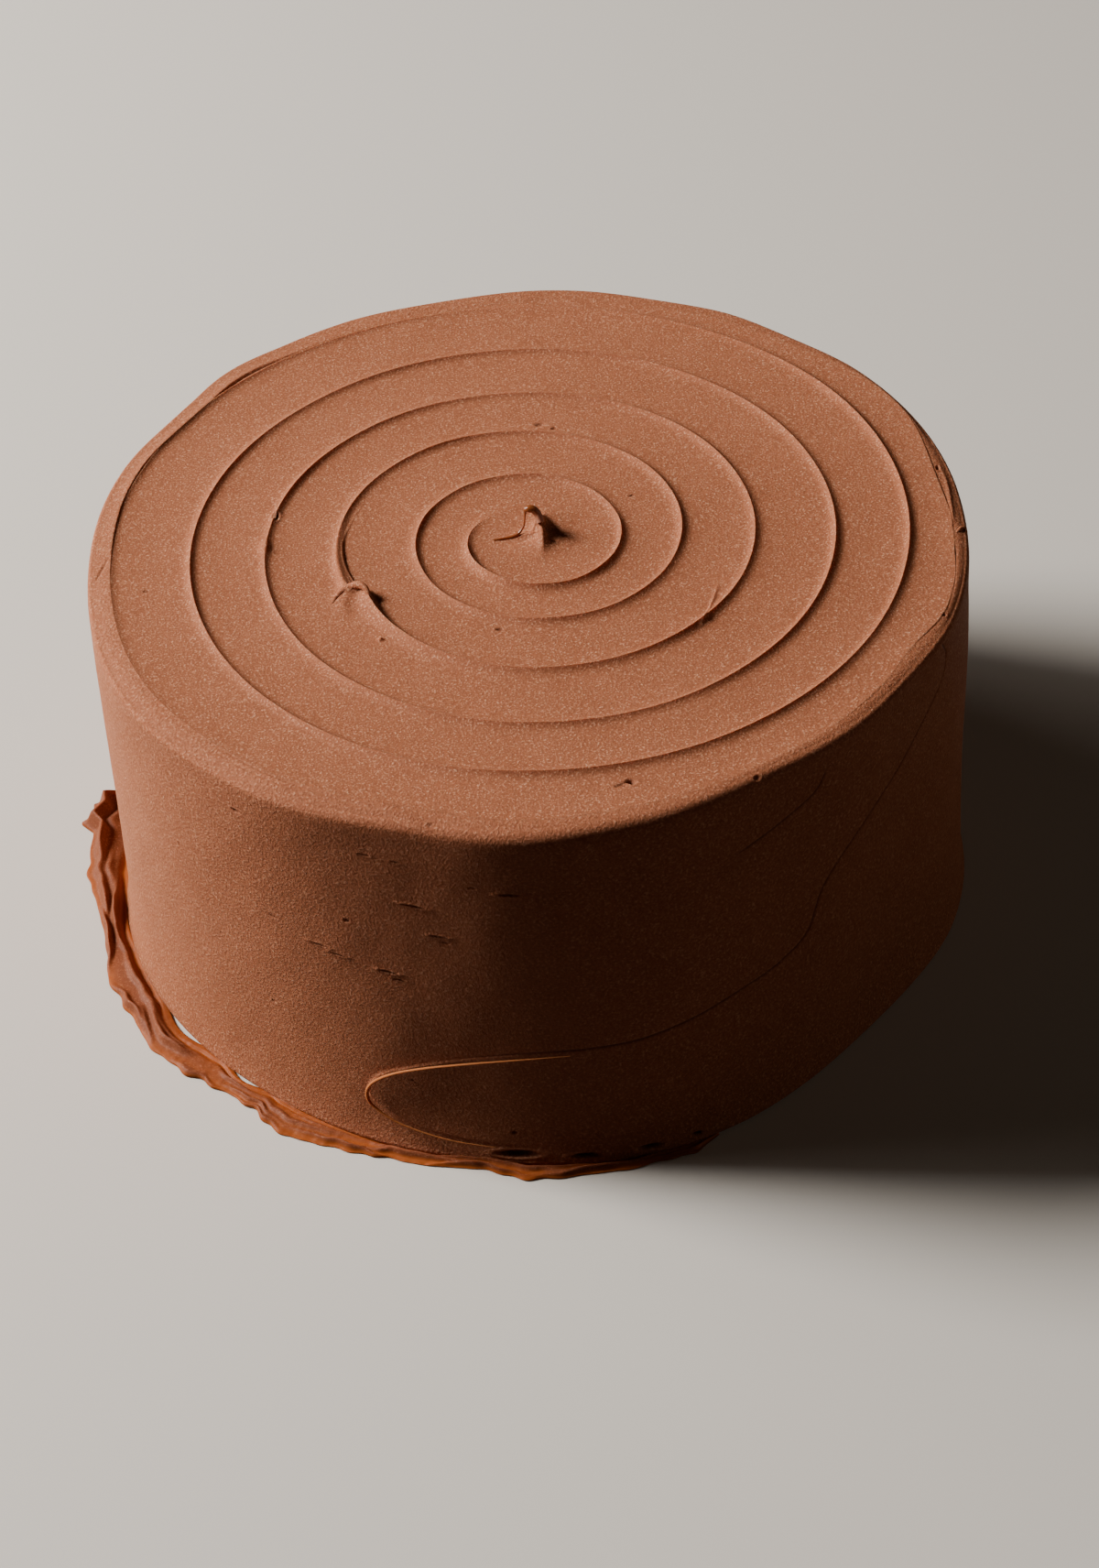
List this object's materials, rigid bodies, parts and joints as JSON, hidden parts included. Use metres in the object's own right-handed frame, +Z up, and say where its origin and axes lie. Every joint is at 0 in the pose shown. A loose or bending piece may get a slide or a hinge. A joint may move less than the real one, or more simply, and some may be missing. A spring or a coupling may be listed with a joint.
{
  "type": "chocolate cake",
  "caption": "Round uncut chocolate cake, frosted all over, with a spatula spiral on top, a small hooked peak in the middle and ragged frosting at its foot",
  "frame": {"origin": "the middle of the foot, on the surface the cake stands on", "axes": "+Z is up; azimuths run counterclockwise from +X seen from above, and the front seen in the picture faces -Y"},
  "size_m": [0.2305, 0.223, 0.113],
  "materials": {
    "frosting": "matte chocolate buttercream with a fine sandy grain"
  },
  "bodies": {
    "root": {"frosted_cake": "frosting"}
  },
  "joints": []
}
